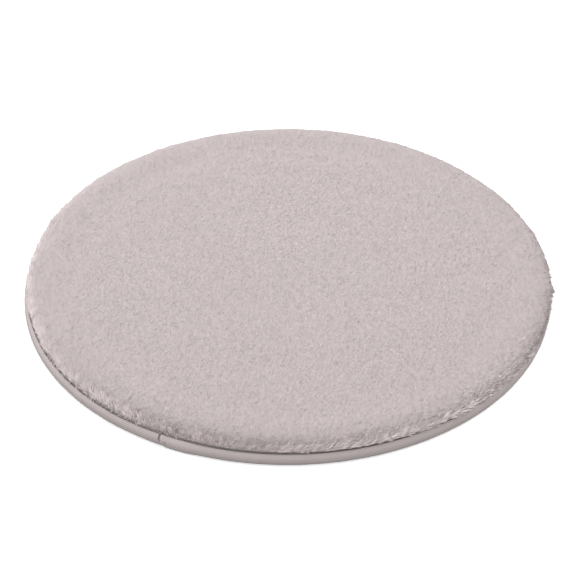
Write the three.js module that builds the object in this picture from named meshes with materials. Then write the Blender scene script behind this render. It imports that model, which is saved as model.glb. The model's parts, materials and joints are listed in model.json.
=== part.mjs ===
// Round plush seat pad: faux rabbit fur over a foam core, bound round the edge with a woven tape,
// on a base cloth with a non-slip layer. Millimetres, +Z up. The origin is the centre of the underside,
// on the surface that the pad rests on. The binding's lapped join is to the left of -Y, the pad's front.
import * as THREE from 'three';
import { mergeVertices } from 'three/addons/utils/BufferGeometryUtils.js';

// Overall
const PAD_RADIUS = 200;
const PAD_HEIGHT = 24;
const ROUND_STEPS = 72;
const CLEARANCE = 0.3;

// Non-slip layer: a thin film with raised dots, taken together as one plain disc
const GRIP_RADIUS = 191.8;
const GRIP_THICKNESS = 1.55;

// Base cloth
const CLOTH_RADIUS = 195.5;
const CLOTH_THICKNESS = 0.7;

// Foam core, pinched thinner where the binding holds its edge
const FOAM_RADIUS = 196.3;
const FOAM_THICKNESS = 10.25;
const FOAM_EDGE_THICKNESS = 6.5;
const SHOULDER_START_RADIUS = 150;
const SHOULDER_END_RADIUS = 192.9;
const SHOULDER_RINGS = 4;

// Plush top: a knitted backing whose edge runs under the binding, and the pile that stands on it.
// The pile's outline is listed as inset from the pile's radius and drop from the pad's top.
const BACKING_EDGE_RADIUS = 195.3;
const BACKING_THICKNESS = 1.1;
const BACKING_EDGE_THICKNESS = 1;
const PILE_RADIUS = 199.3;
const PILE_OUTLINE = [
  [1.9, 11.25],
  [0.4, 10.3],
  [0, 9],
  [0.8, 7],
  [3.6, 4.8],
  [9.5, 3.1],
  [22, 1.8],
  [50, 0.8],
  [100, 0.3],
];

// Binding tape, rolled round the edge; its first end laps over its last
const TAPE_THICKNESS = 0.6;
const TAPE_UNDERSIDE = 0.95;
const TAPE_HALF_HEIGHT = 5.3;
const TAPE_BULGE = 5.5;
const TAPE_TOP_EDGE_RADIUS = 193.3;
const TAPE_BOTTOM_EDGE_RADIUS = 192.4;
const TAPE_ARC_STEPS = 8;
const JOIN_DEGREES = 243.5;
const LAP_STEPS = 1;
const LAP_EASE_STEPS = 1;

// Sewing thread: the needle line on top of the tape, the bobbin line under it, and the tack at the join
const THREAD_RADIUS = 0.25;
const THREAD_SIDES = 6;
const NEEDLE_LINE_RADIUS = 195.8;
const BOBBIN_LINE_RADIUS = 195.3;
const TACK_STITCHES = 3;
const TACK_STITCH_HEIGHT = 1.5;
const TACK_HALF_WIDTH_DEGREES = 0.25;
const TACK_INSET_DEGREES = 0.8;
const TACK_PATH_STEPS = 24;

// Finishes
const FUR_COLOUR = 0xc8bebc;
const TAPE_COLOUR = 0xc0b4b2;
const CLOTH_COLOUR = 0xb3a8a6;
const GRIP_COLOUR = 0xd8d4d0;
const FOAM_COLOUR = 0xede6d6;
const THREAD_COLOUR = 0xb9adab;
const PLUSH_ROUGHNESS = 1;
const WOVEN_ROUGHNESS = 0.9;
const THREAD_ROUGHNESS = 0.7;
const GRIP_ROUGHNESS = 0.5;

// Heights that follow from the layers, counted up from the resting surface
const CLOTH_BOTTOM = GRIP_THICKNESS + CLEARANCE;
const CLOTH_TOP = CLOTH_BOTTOM + CLOTH_THICKNESS;
const FOAM_BOTTOM = CLOTH_TOP + CLEARANCE;
const FOAM_TOP = FOAM_BOTTOM + FOAM_THICKNESS;
const FOAM_EDGE_TOP = FOAM_BOTTOM + FOAM_EDGE_THICKNESS;
const BACKING_BOTTOM = FOAM_TOP + CLEARANCE;
const BACKING_EDGE_BOTTOM = FOAM_EDGE_TOP + CLEARANCE;
const TAPE_MIDDLE = TAPE_UNDERSIDE + TAPE_HALF_HEIGHT;
const TAPE_CENTRE_RADIUS = PAD_RADIUS - TAPE_BULGE;
const LAP_LIFT = TAPE_THICKNESS + CLEARANCE;
const TAPE_CLEAR_STEP = LAP_STEPS + LAP_EASE_STEPS;
const STEP_ANGLE = (2 * Math.PI) / ROUND_STEPS;
const JOIN_ANGLE = THREE.MathUtils.degToRad(JOIN_DEGREES);

// The closed mesh of a geometry with its shared vertices merged
function closed(geometry) {
  geometry.deleteAttribute('normal');
  geometry.deleteAttribute('uv');
  return mergeVertices(geometry);
}

// A solid of revolution about Z; outline lists [radius, height] from the axis's low end to its high end
function turned(outline) {
  const points = outline.map(([radius, height]) => new THREE.Vector2(radius, height));
  const geometry = new THREE.LatheGeometry(points, ROUND_STEPS);
  geometry.rotateX(Math.PI / 2);
  return closed(geometry);
}

// A strip swept about Z from one step to another, counted from the binding's join, with its two ends
// capped. sectionAt(step) lists the section's [radius, height] points clockwise, with radius to the right
// and height up.
function swept(sectionAt, firstStep, lastStep) {
  const sides = sectionAt(firstStep).length;
  const positions = [];
  const faces = [];
  for (let step = firstStep; step <= lastStep; step += 1) {
    const angle = JOIN_ANGLE + step * STEP_ANGLE;
    for (const [radius, height] of sectionAt(step)) {
      positions.push(radius * Math.cos(angle), radius * Math.sin(angle), height);
    }
  }
  const lastRing = (lastStep - firstStep) * sides;
  for (let ring = 0; ring < lastRing; ring += sides) {
    for (let side = 0; side < sides; side += 1) {
      const here = ring + side;
      const next = ring + ((side + 1) % sides);
      faces.push(here, next, next + sides, here, next + sides, here + sides);
    }
  }
  const cap = sectionAt(firstStep).map(([radius, height]) => new THREE.Vector2(radius, height));
  for (const [a, b, c] of THREE.ShapeUtils.triangulateShape(cap, [])) {
    faces.push(a, b, c, lastRing + a, lastRing + c, lastRing + b);
  }
  const geometry = new THREE.BufferGeometry();
  geometry.setAttribute('position', new THREE.Float32BufferAttribute(positions, 3));
  geometry.setIndex(faces);
  return geometry;
}

// The foam and the backing dip from the flat middle to the edge that the binding pinches
function shoulder(middleHeight, edgeHeight) {
  const rings = [];
  for (let ring = 0; ring < SHOULDER_RINGS; ring += 1) {
    const along = ring / (SHOULDER_RINGS - 1);
    const radius = THREE.MathUtils.lerp(SHOULDER_START_RADIUS, SHOULDER_END_RADIUS, along);
    rings.push([radius, THREE.MathUtils.lerp(middleHeight, edgeHeight, along ** 3)]);
  }
  return rings;
}

function gripLayer() {
  return turned([
    [0, 0],
    [GRIP_RADIUS, 0],
    [GRIP_RADIUS, GRIP_THICKNESS],
    [0, GRIP_THICKNESS],
  ]);
}

function baseCloth() {
  return turned([
    [0, CLOTH_BOTTOM],
    [CLOTH_RADIUS, CLOTH_BOTTOM],
    [CLOTH_RADIUS, CLOTH_TOP],
    [0, CLOTH_TOP],
  ]);
}

function foamCore() {
  return turned([
    [0, FOAM_BOTTOM],
    [FOAM_RADIUS, FOAM_BOTTOM],
    [FOAM_RADIUS, FOAM_EDGE_TOP],
    ...shoulder(FOAM_TOP, FOAM_EDGE_TOP).reverse(),
    [0, FOAM_TOP],
  ]);
}

function plushTop() {
  const lipDrop = PILE_OUTLINE[0][1];
  return turned([
    [0, BACKING_BOTTOM],
    ...shoulder(BACKING_BOTTOM, BACKING_EDGE_BOTTOM),
    [BACKING_EDGE_RADIUS, BACKING_EDGE_BOTTOM],
    [BACKING_EDGE_RADIUS, BACKING_EDGE_BOTTOM + BACKING_EDGE_THICKNESS],
    [SHOULDER_END_RADIUS, BACKING_EDGE_BOTTOM + BACKING_THICKNESS],
    [SHOULDER_END_RADIUS, PAD_HEIGHT - lipDrop],
    ...PILE_OUTLINE.map(([inset, drop]) => [PILE_RADIUS - inset, PAD_HEIGHT - drop]),
    [0, PAD_HEIGHT],
  ]);
}

// Half the tape's section, as an arc bulging outwards; grow is added to its height and its bulge
function tapeArc(grow) {
  const arc = [];
  for (let index = 0; index <= TAPE_ARC_STEPS; index += 1) {
    const angle = Math.PI * (0.5 - index / TAPE_ARC_STEPS);
    const radius = TAPE_CENTRE_RADIUS + (TAPE_BULGE + grow) * Math.cos(angle);
    arc.push([radius, TAPE_MIDDLE + (TAPE_HALF_HEIGHT + grow) * Math.sin(angle)]);
  }
  return arc;
}

function tapeSection(lift) {
  const outside = tapeArc(lift);
  const inside = tapeArc(lift - TAPE_THICKNESS).reverse();
  const halfHeight = TAPE_HALF_HEIGHT + lift;
  const innerHalfHeight = halfHeight - TAPE_THICKNESS;
  return [
    [TAPE_TOP_EDGE_RADIUS, TAPE_MIDDLE + halfHeight],
    ...outside,
    [TAPE_BOTTOM_EDGE_RADIUS, TAPE_MIDDLE - halfHeight],
    [TAPE_BOTTOM_EDGE_RADIUS, TAPE_MIDDLE - innerHalfHeight],
    ...inside,
    [TAPE_TOP_EDGE_RADIUS, TAPE_MIDDLE + innerHalfHeight],
  ];
}

// The tape runs once round the pad. Its first end stands off by one thickness, to lap over its last end.
function edgeBinding() {
  const liftAt = (step) => LAP_LIFT * THREE.MathUtils.clamp((TAPE_CLEAR_STEP - step) / LAP_EASE_STEPS, 0, 1);
  return swept((step) => tapeSection(liftAt(step)), 0, LAP_STEPS + ROUND_STEPS);
}

// How far the tape's outer face stands above or below its middle at a radius
function tapeRise(radius) {
  return TAPE_HALF_HEIGHT * Math.sqrt(1 - ((radius - TAPE_CENTRE_RADIUS) / TAPE_BULGE) ** 2);
}

// The radius of the lapped tape's outer face at a height
function lapRadius(height) {
  const rise = (height - TAPE_MIDDLE) / (TAPE_HALF_HEIGHT + LAP_LIFT);
  return TAPE_CENTRE_RADIUS + (TAPE_BULGE + LAP_LIFT) * Math.sqrt(1 - rise ** 2);
}

function threadSection() {
  const section = [];
  for (let side = 0; side < THREAD_SIDES; side += 1) {
    const angle = (-2 * Math.PI * side) / THREAD_SIDES;
    section.push([THREAD_RADIUS * Math.cos(angle), THREAD_RADIUS * Math.sin(angle)]);
  }
  return section;
}

// A line of stitching that starts and ends beside the lapped join
function seamThread(radius, height) {
  const section = threadSection().map(([x, y]) => [radius + x, height + y]);
  return swept(() => section, TAPE_CLEAR_STEP, ROUND_STEPS - 1);
}

function needleThread() {
  const offset = tapeRise(NEEDLE_LINE_RADIUS) + CLEARANCE + THREAD_RADIUS;
  return seamThread(NEEDLE_LINE_RADIUS, TAPE_MIDDLE + offset);
}

function bobbinThread() {
  const offset = tapeRise(BOBBIN_LINE_RADIUS) + CLEARANCE + THREAD_RADIUS;
  return seamThread(BOBBIN_LINE_RADIUS, TAPE_MIDDLE - offset);
}

// Zigzag stitches up the face of the lapped end, which hold it down
function joinTack() {
  const points = [];
  for (let turn = 0; turn <= 2 * TACK_STITCHES; turn += 1) {
    const height = TAPE_MIDDLE + (turn / 2 - TACK_STITCHES / 2) * TACK_STITCH_HEIGHT;
    const sideways = turn % 2 ? TACK_HALF_WIDTH_DEGREES : -TACK_HALF_WIDTH_DEGREES;
    const angle = JOIN_ANGLE + THREE.MathUtils.degToRad(TACK_INSET_DEGREES + sideways);
    const radius = lapRadius(height) + CLEARANCE + THREAD_RADIUS;
    points.push(new THREE.Vector3(radius * Math.cos(angle), radius * Math.sin(angle), height));
  }
  const section = new THREE.Shape(threadSection().map(([x, y]) => new THREE.Vector2(x, y)));
  const extrudePath = new THREE.CatmullRomCurve3(points);
  return closed(new THREE.ExtrudeGeometry(section, { steps: TACK_PATH_STEPS, extrudePath }));
}

const pad = new THREE.Group();

function addPart(name, geometry, color, roughness) {
  const material = new THREE.MeshStandardMaterial({ color, roughness, metalness: 0 });
  const mesh = new THREE.Mesh(geometry, material);
  mesh.name = name;
  pad.add(mesh);
}

addPart('grip_layer', gripLayer(), GRIP_COLOUR, GRIP_ROUGHNESS);
addPart('base_cloth', baseCloth(), CLOTH_COLOUR, WOVEN_ROUGHNESS);
addPart('foam_core', foamCore(), FOAM_COLOUR, PLUSH_ROUGHNESS);
addPart('plush_top', plushTop(), FUR_COLOUR, PLUSH_ROUGHNESS);
addPart('edge_binding', edgeBinding(), TAPE_COLOUR, WOVEN_ROUGHNESS);
addPart('needle_thread', needleThread(), THREAD_COLOUR, THREAD_ROUGHNESS);
addPart('bobbin_thread', bobbinThread(), THREAD_COLOUR, THREAD_ROUGHNESS);
addPart('join_tack_thread', joinTack(), THREAD_COLOUR, THREAD_ROUGHNESS);

export default pad;
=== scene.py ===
import json
import math

import bpy
import numpy as np
from bpy.props import FloatProperty, FloatVectorProperty, IntProperty, PointerProperty
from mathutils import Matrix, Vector, noise
from mathutils.bvhtree import BVHTree

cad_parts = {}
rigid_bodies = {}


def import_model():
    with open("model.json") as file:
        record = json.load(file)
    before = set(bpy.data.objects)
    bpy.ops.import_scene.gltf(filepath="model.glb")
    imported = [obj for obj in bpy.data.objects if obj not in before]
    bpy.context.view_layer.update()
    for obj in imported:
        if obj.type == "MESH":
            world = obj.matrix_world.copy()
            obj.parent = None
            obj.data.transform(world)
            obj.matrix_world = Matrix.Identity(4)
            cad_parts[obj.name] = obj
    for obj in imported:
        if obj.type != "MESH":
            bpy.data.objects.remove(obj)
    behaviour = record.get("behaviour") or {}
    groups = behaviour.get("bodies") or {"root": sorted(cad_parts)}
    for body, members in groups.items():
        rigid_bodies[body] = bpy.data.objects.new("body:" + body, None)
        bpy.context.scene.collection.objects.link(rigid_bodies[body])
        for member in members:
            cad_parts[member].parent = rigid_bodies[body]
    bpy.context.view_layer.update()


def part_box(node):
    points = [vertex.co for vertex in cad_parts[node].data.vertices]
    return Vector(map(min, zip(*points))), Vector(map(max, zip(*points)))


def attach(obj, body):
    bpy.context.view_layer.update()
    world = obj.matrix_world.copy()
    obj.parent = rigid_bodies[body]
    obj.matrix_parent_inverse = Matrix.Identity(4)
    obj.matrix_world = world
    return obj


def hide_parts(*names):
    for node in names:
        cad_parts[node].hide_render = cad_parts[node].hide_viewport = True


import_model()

bl_info = {
    "name": "Plush Seat Pad",
    "version": (1, 0, 0),
    "blender": (4, 5, 0),
    "location": "3D View > Sidebar > Plush Pad",
    "description": "Builds a round plush seat pad: fur top, foam, bound edge and non-slip base",
    "category": "Add Mesh",
}

# Everything is in metres; the short name keeps the drawn outlines readable.
MM = 0.001
BODY = "root"

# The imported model's own boxes give the radii and heights that the soft pieces have to meet.
PAD_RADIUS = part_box("edge_binding")[1][0]
FOAM_LOW, FOAM_HIGH = (Vector(corner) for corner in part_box("foam_core"))
CLOTH_LOW, CLOTH_HIGH = (Vector(corner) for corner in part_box("base_cloth"))
GRIP_LOW, GRIP_HIGH = (Vector(corner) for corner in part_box("grip_layer"))
TACK_LOW, TACK_HIGH = (Vector(corner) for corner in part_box("join_tack_thread"))

# Where the tape's two ends meet, as an angle from +X, and how far one laps over the other. The tack
# stands just inside the lapped end.
TACK_INSET = math.radians(0.8)
JOIN_ANGLE = math.atan2(TACK_LOW.y + TACK_HIGH.y, TACK_LOW.x + TACK_HIGH.x) - TACK_INSET
LAP_ANGLE = math.radians(5)


# ---------------------------------------------------------------- settings


def length_property(name, description, default, low, high):
    """A length whose default and limits are given in millimetres."""
    return FloatProperty(
        name=name,
        description=description,
        default=default * MM,
        min=low * MM,
        max=high * MM,
        unit="LENGTH",
    )


def colour_property(name, description, default):
    return FloatVectorProperty(
        name=name,
        description=description,
        default=default,
        size=3,
        min=0,
        max=1,
        subtype="COLOR",
    )


class PadPileSettings(bpy.types.PropertyGroup):
    """The fur: how long, how wide and how close its tufts are, and which way they lie"""

    tuft_length: length_property(
        "Tuft Length", "Length of a full tuft of pile from its root to its tip", 5.0, 2, 20
    )
    tuft_width: length_property(
        "Tuft Width", "Width of a tuft of pile at its widest", 0.62, 0.3, 3
    )
    tuft_gap: length_property(
        "Tuft Gap", "Least distance between the roots of two tufts", 0.455, 0.3, 5
    )
    nap_heading: FloatProperty(
        name="Nap Heading",
        description="Direction that the pile is brushed in, from the X axis",
        default=math.radians(50),
        subtype="ANGLE",
    )
    swirl: FloatProperty(
        name="Swirl",
        description="How strongly the pile's direction wanders from the nap heading",
        default=1.0,
        min=0,
        max=4,
        subtype="FACTOR",
    )
    softness: FloatProperty(
        name="Softness",
        description="How far a tuft takes its shading from the pile as a whole",
        default=0.98,
        min=0,
        max=1,
        subtype="FACTOR",
    )
    seed: IntProperty(
        name="Seed", description="Start of the pile's random order", default=11, min=0
    )


class PadBindingSettings(bpy.types.PropertyGroup):
    """The tape round the edge and its stitching"""

    thickness: length_property(
        "Tape Thickness", "Thickness of the binding tape", 0.6, 0.2, 1.5
    )
    rib_pitch: length_property(
        "Twill Pitch", "Distance between two diagonal ribs of the tape's weave", 2.0, 0.3, 4
    )
    stitch_pitch: length_property(
        "Stitch Length", "Distance from one needle hole to the next", 3.2, 1.5, 8
    )
    thread_radius: length_property(
        "Thread Radius", "Half the sewing thread's thickness", 0.22, 0.1, 0.6
    )


class PadBaseSettings(bpy.types.PropertyGroup):
    """The underside: non-slip dots on a film, over the base cloth"""

    dot_pitch: length_property(
        "Dot Pitch", "Distance between the centres of two non-slip dots", 7.5, 3, 30
    )
    dot_radius: length_property(
        "Dot Radius", "Radius of one non-slip dot", 1.5, 0.5, 5
    )
    film_thickness: length_property(
        "Film Thickness", "Thickness of the non-slip film without its dots", 0.8, 0.3, 1.3
    )
    foam_pressure: FloatProperty(
        name="Foam Pressure",
        description="Pressure that swells the foam's skin while it settles",
        default=4.0,
        min=0,
        max=20,
    )


class PadColourSettings(bpy.types.PropertyGroup):
    """Colours of the pad's materials and of the floor"""

    fur: colour_property("Fur", "Colour of the pile", (0.60, 0.529, 0.526))
    fur_root: colour_property(
        "Fur Root", "Colour of the pile near its roots", (0.588, 0.517, 0.514)
    )
    tape: colour_property("Tape", "Colour of the binding tape", (0.56, 0.495, 0.49))
    cloth: colour_property("Base Cloth", "Colour of the base cloth", (0.45, 0.39, 0.38))
    grip: colour_property("Grip", "Colour of the non-slip film", (0.68, 0.65, 0.62))
    foam: colour_property("Foam", "Colour of the foam", (0.85, 0.79, 0.67))
    thread: colour_property("Thread", "Colour of the sewing thread", (0.5, 0.44, 0.43))
    floor: colour_property("Floor", "Colour of the floor", (0.95, 0.95, 0.95))


class PadStageSettings(bpy.types.PropertyGroup):
    """The floor, lights and camera"""

    camera_height: FloatProperty(
        name="Camera Elevation",
        description="Angle that the camera looks down at",
        default=math.radians(37.3),
        subtype="ANGLE",
    )
    camera_distance: FloatProperty(
        name="Camera Distance",
        description="Distance from the camera to the pad",
        default=1.8,
        unit="LENGTH",
    )
    lens: FloatProperty(
        name="Lens", description="Focal length in millimetres", default=149.0, min=10
    )
    sky: FloatProperty(
        name="Room Light",
        description="Strength of the even light from all round",
        default=1.21,
        min=0,
    )
    key: FloatProperty(
        name="Overhead Light",
        description="Power of the large soft light above the pad, in watts",
        default=13.0,
        min=0,
    )


# ---------------------------------------------------------------- making meshes


def new_piece(name, points, faces, smooth=True):
    """A new object at the origin, with its own mesh."""
    mesh = bpy.data.meshes.new(name)
    mesh.from_pydata([tuple(point) for point in points], [], faces)
    mesh.polygons.foreach_set("use_smooth", [smooth] * len(mesh.polygons))
    mesh.update()
    piece = bpy.data.objects.new(name, mesh)
    bpy.context.scene.collection.objects.link(piece)
    return piece


def remove_piece(piece):
    """Removes an object together with its mesh."""
    mesh = piece.data
    bpy.data.objects.remove(piece)
    bpy.data.meshes.remove(mesh)


def make_plain(piece):
    """Takes the evaluated mesh as the piece's own and removes its modifiers."""
    graph = bpy.context.evaluated_depsgraph_get()
    mesh = bpy.data.meshes.new_from_object(
        piece.evaluated_get(graph), preserve_all_data_layers=True, depsgraph=graph
    )
    old = piece.data
    piece.modifiers.clear()
    piece.data = mesh
    bpy.data.meshes.remove(old)
    mesh.name = piece.name


def smooth_line(points, spacing):
    """Points along a Catmull-Rom curve through the given ones, at most a spacing apart."""
    ends = [points[0], *points, points[-1]]
    line = [Vector(points[0])]
    for index in range(len(points) - 1):
        before, start, end, after = (Vector(p) for p in ends[index : index + 4])
        count = max(1, math.ceil((end - start).length / spacing))
        for step in range(1, count + 1):
            t = step / count
            line.append(
                0.5
                * (
                    2 * start
                    + (end - before) * t
                    + (2 * before - 5 * start + 4 * end - after) * t**2
                    + (3 * start - before - 3 * end + after) * t**3
                )
            )
    return line


def turned_mesh(outline, steps, place=None):
    """Closed mesh turned about Z, from pairs of radius and height that run from pole to pole."""
    points, faces = [(0, 0, outline[0][1])], []
    for radius, height in outline[1:-1]:
        for step in range(steps):
            angle = 2 * math.pi * step / steps
            if place:
                points.append(place(radius, height, angle))
            else:
                points.append(
                    (radius * math.cos(angle), radius * math.sin(angle), height)
                )
    top = len(points)
    points.append((0, 0, outline[-1][1]))
    rings = len(outline) - 2
    for step in range(steps):
        after = (step + 1) % steps
        faces.append((0, 1 + after, 1 + step))
        for ring in range(rings - 1):
            low, high = 1 + ring * steps, 1 + (ring + 1) * steps
            faces.append((low + step, low + after, high + after, high + step))
        last = 1 + (rings - 1) * steps
        faces.append((last + step, last + after, top))
    return points, faces


def rough(point, scale, seed):
    """Smooth noise from -1 to 1, repeatable for the same point."""
    return noise.noise(Vector((point[0] * scale, point[1] * scale, seed)))


def ease(value, low, high):
    """0 below low, 1 above high, and a smooth rise between."""
    t = min(1.0, max(0.0, (value - low) / (high - low)))
    return t * t * (3 - 2 * t)


# ---------------------------------------------------------------- node helpers


def put(tree, kind, inputs=None, **settings):
    """Adds a node, sets it up, and fills or links its inputs by name or number."""
    node = tree.nodes.new(kind)
    for name, value in settings.items():
        setattr(node, name, value)
    for key, value in (inputs or {}).items():
        if isinstance(value, bpy.types.NodeSocket):
            tree.links.new(value, node.inputs[key])
        else:
            node.inputs[key].default_value = value
    return node


def sums(tree, operation, first, second=0.0, third=0.0):
    """Arithmetic on up to three numbers or sockets."""
    node = put(
        tree, "ShaderNodeMath", {0: first, 1: second, 2: third}, operation=operation
    )
    return node.outputs[0]


def vector_sums(tree, operation, first, second):
    """Arithmetic on two vectors."""
    node = put(tree, "ShaderNodeVectorMath", {0: first, 1: second}, operation=operation)
    return node.outputs[0]


def dot_product(tree, first, second):
    node = put(
        tree, "ShaderNodeVectorMath", {0: first, 1: second}, operation="DOT_PRODUCT"
    )
    return node.outputs[1]


def scaled(tree, vector, amount):
    """The vector times a number or a socket."""
    node = put(
        tree, "ShaderNodeVectorMath", {0: vector, "Scale": amount}, operation="SCALE"
    )
    return node.outputs[0]


def ramp(tree, value, low, high, start=0.0, end=1.0):
    """A smooth change from start to end as the value goes from low to high."""
    return put(
        tree,
        "ShaderNodeMapRange",
        {
            "Value": value,
            "From Min": low,
            "From Max": high,
            "To Min": start,
            "To Max": end,
        },
        interpolation_type="SMOOTHSTEP",
    ).outputs[0]


def geometry_tree(name, sockets):
    """A geometry tree with named inputs; returns it with its input sockets by name."""
    tree = bpy.data.node_groups.new(name, "GeometryNodeTree")
    tree.interface.new_socket(
        "Geometry", in_out="INPUT", socket_type="NodeSocketGeometry"
    )
    tree.interface.new_socket(
        "Geometry", in_out="OUTPUT", socket_type="NodeSocketGeometry"
    )
    for label, kind in sockets.items():
        tree.interface.new_socket(
            label, in_out="INPUT", socket_type="NodeSocket" + kind
        )
    start = tree.nodes.new("NodeGroupInput")
    return tree, start.outputs


def end_tree(tree, geometry, material):
    """Makes instances real, sets their material and ends the tree."""
    real = put(tree, "GeometryNodeRealizeInstances", {"Geometry": geometry})
    dyed = put(
        tree,
        "GeometryNodeSetMaterial",
        {"Geometry": real.outputs[0], "Material": material},
    )
    put(tree, "NodeGroupOutput", {"Geometry": dyed.outputs[0]})


def grow(piece, tree, values):
    """Runs a geometry tree on a piece and keeps the result as its plain mesh."""
    modifier = piece.modifiers.new(tree.name, "NODES")
    modifier.node_group = tree
    for socket in tree.interface.items_tree:
        if socket.in_out == "INPUT" and socket.name in values:
            modifier[socket.identifier] = values[socket.name]
    make_plain(piece)


# ---------------------------------------------------------------- materials


def new_material(name, colour, roughness, **values):
    """A material with its tree and shader; other values are named as the shader's inputs are."""
    material = bpy.data.materials.new(name)
    material.use_nodes = True
    tree = material.node_tree
    shader = tree.nodes["Principled BSDF"]
    shader.inputs["Base Color"].default_value = (*colour, 1)
    shader.inputs["Roughness"].default_value = roughness
    for label, value in values.items():
        shader.inputs[label.replace("_", " ").title()].default_value = value
    return material, tree, shader


def object_coordinates(tree, turn=(0, 0, 0)):
    source = put(tree, "ShaderNodeTexCoord").outputs["Object"]
    return put(
        tree, "ShaderNodeMapping", {"Vector": source, "Rotation": turn}
    ).outputs[0]


def speckle(tree, vector, scale, detail=2.0):
    """Soft noise from 0 to 1."""
    node = put(
        tree,
        "ShaderNodeTexNoise",
        {"Vector": vector, "Scale": scale, "Detail": detail},
    )
    return node.outputs[0]


def tone(tree, colour, factor, low, high):
    """The colour made lighter or darker, from low to high times, as the factor goes from 0 to 1."""
    amount = put(
        tree,
        "ShaderNodeMapRange",
        {"Value": factor, "To Min": low, "To Max": high},
    ).outputs[0]
    if not isinstance(colour, bpy.types.NodeSocket):
        colour = (*colour, 1)
    node = put(
        tree, "ShaderNodeMixRGB", {0: 1.0, 1: colour, 2: amount}, blend_type="MULTIPLY"
    )
    return node.outputs[0]


def raise_surface(tree, shader, height, distance):
    """Makes a fine relief as deep as the distance, where the height goes from 0 to 1."""
    bump = put(
        tree,
        "ShaderNodeBump",
        {"Height": height, "Distance": distance, "Strength": 1.0},
    )
    tree.links.new(bump.outputs[0], shader.inputs["Normal"])


def fur_material(colours):
    """Matte pile: paler at the tips, each tuft a tone of its own, with slow soft mottling, and painted
    light on the pad's side, which is lightened where the tufts climb it and carries painted light and
    dark lock streaks.
    """
    material, tree, shader = new_material(
        "fur", colours.fur, 0.95, sheen_weight=0.15, sheen_roughness=0.6
    )
    shader.inputs["Specular IOR Level"].default_value = 0.15
    along = put(tree, "ShaderNodeAttribute", attribute_name="strand").outputs["Fac"]
    shade = put(tree, "ShaderNodeAttribute", attribute_name="shade").outputs["Fac"]
    mix = put(
        tree,
        "ShaderNodeMixRGB",
        {
            0: sums(tree, "MULTIPLY", along, 1.6),
            1: (*colours.fur_root, 1),
            2: (*colours.fur, 1),
        },
        use_clamp=True,
    ).outputs[0]
    place = object_coordinates(tree)
    mottled = tone(tree, mix, speckle(tree, place, 22.0), 0.98, 1.02)
    # Painted light: the shade attribute lightens the pad's side where the tufts climb and paints
    # strong light and dark lock streaks there; on top it is a small random tone.
    toned_with_painted_light = tone(tree, mottled, shade, 0.7, 1.3)
    tree.links.new(toned_with_painted_light, shader.inputs["Base Color"])
    return material


def pile_material(colours):
    """The dense pile between the tufts, with a fine grain of fibre ends; on the backing and where the
    pile lies under its overhang, painted shade darkens it to 0.12 of its colour.
    """
    material, tree, shader = new_material("fur_ground", colours.fur, 1.0)
    shader.inputs["Specular IOR Level"].default_value = 0.1
    place = object_coordinates(tree)
    fine = speckle(tree, place, 900.0, 3.0)
    pile = tone(tree, colours.fur, fine, 0.9, 1.05)
    unshaded = put(tree, "ShaderNodeAttribute", attribute_name="open_pile").outputs["Fac"]
    # Painted shade: the backing and the pile under its overhang go down to 0.12 of the pile's colour.
    tree.links.new(tone(tree, pile, unshaded, 0.12, 1.0), shader.inputs[0])
    raise_surface(tree, shader, fine, 0.3 * MM)
    return material


def tape_material(colours, pitch):
    """Fine twill: diagonal ribs of short floats along the tape, from the tape's own map in metres."""
    material, tree, shader = new_material("binding_twill", colours.tape, 0.85)
    shader.inputs["Specular IOR Level"].default_value = 0.25
    flat = put(tree, "ShaderNodeUVMap", uv_map="tape").outputs[0]
    split = put(tree, "ShaderNodeSeparateXYZ", {0: flat})
    length, width = split.outputs[0], split.outputs[1]
    slant, float_pitch, painted_shade_width = 1.15, 0.9 * MM, 0.9 * MM
    slanted = sums(tree, "MULTIPLY_ADD", width, slant, length)
    rib = sums(tree, "SINE", sums(tree, "MULTIPLY", slanted, 2 * math.pi / pitch))
    floats = sums(tree, "SINE", sums(tree, "MULTIPLY", width, 2 * math.pi / float_pitch))
    weave = sums(tree, "MULTIPLY_ADD", floats, 0.35, rib)
    weave = sums(tree, "MULTIPLY_ADD", weave, 0.35, 0.5)
    place = object_coordinates(tree)
    worn = tone(tree, colours.tape, speckle(tree, place, 60.0, 3.0), 0.93, 1.07)
    woven = tone(tree, worn, weave, 0.74, 1.2)
    # Painted shade: the lapped end's cut edge is darkened along its first 0.9 mm, as the step where it
    # lies over the tape's other end is shaded.
    inside = put(
        tree, "ShaderNodeMapRange", {"Value": length, "From Max": painted_shade_width}
    ).outputs[0]
    woven = tone(tree, woven, inside, 0.3, 1.0)
    tree.links.new(woven, shader.inputs["Base Color"])
    raise_surface(tree, shader, weave, 0.12 * MM)
    return material


def cloth_material(colours):
    """Plain weave of the base cloth: threads over and under each other."""
    material, tree, shader = new_material("base_weave", colours.cloth, 0.9)
    place = object_coordinates(tree)
    split = put(tree, "ShaderNodeSeparateXYZ", {0: place})
    thread_pitch = 0.8 * MM
    turn = 2 * math.pi / thread_pitch
    across = sums(tree, "SINE", sums(tree, "MULTIPLY", split.outputs[0], turn))
    down = sums(tree, "SINE", sums(tree, "MULTIPLY", split.outputs[1], turn))
    weave = sums(tree, "MULTIPLY", across, down)
    weave = sums(tree, "MULTIPLY_ADD", weave, 0.5, 0.5)
    uneven = tone(tree, colours.cloth, speckle(tree, place, 150.0), 0.93, 1.05)
    tree.links.new(tone(tree, uneven, weave, 0.85, 1.06), shader.inputs[0])
    raise_surface(tree, shader, weave, 0.1 * MM)
    return material


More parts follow.
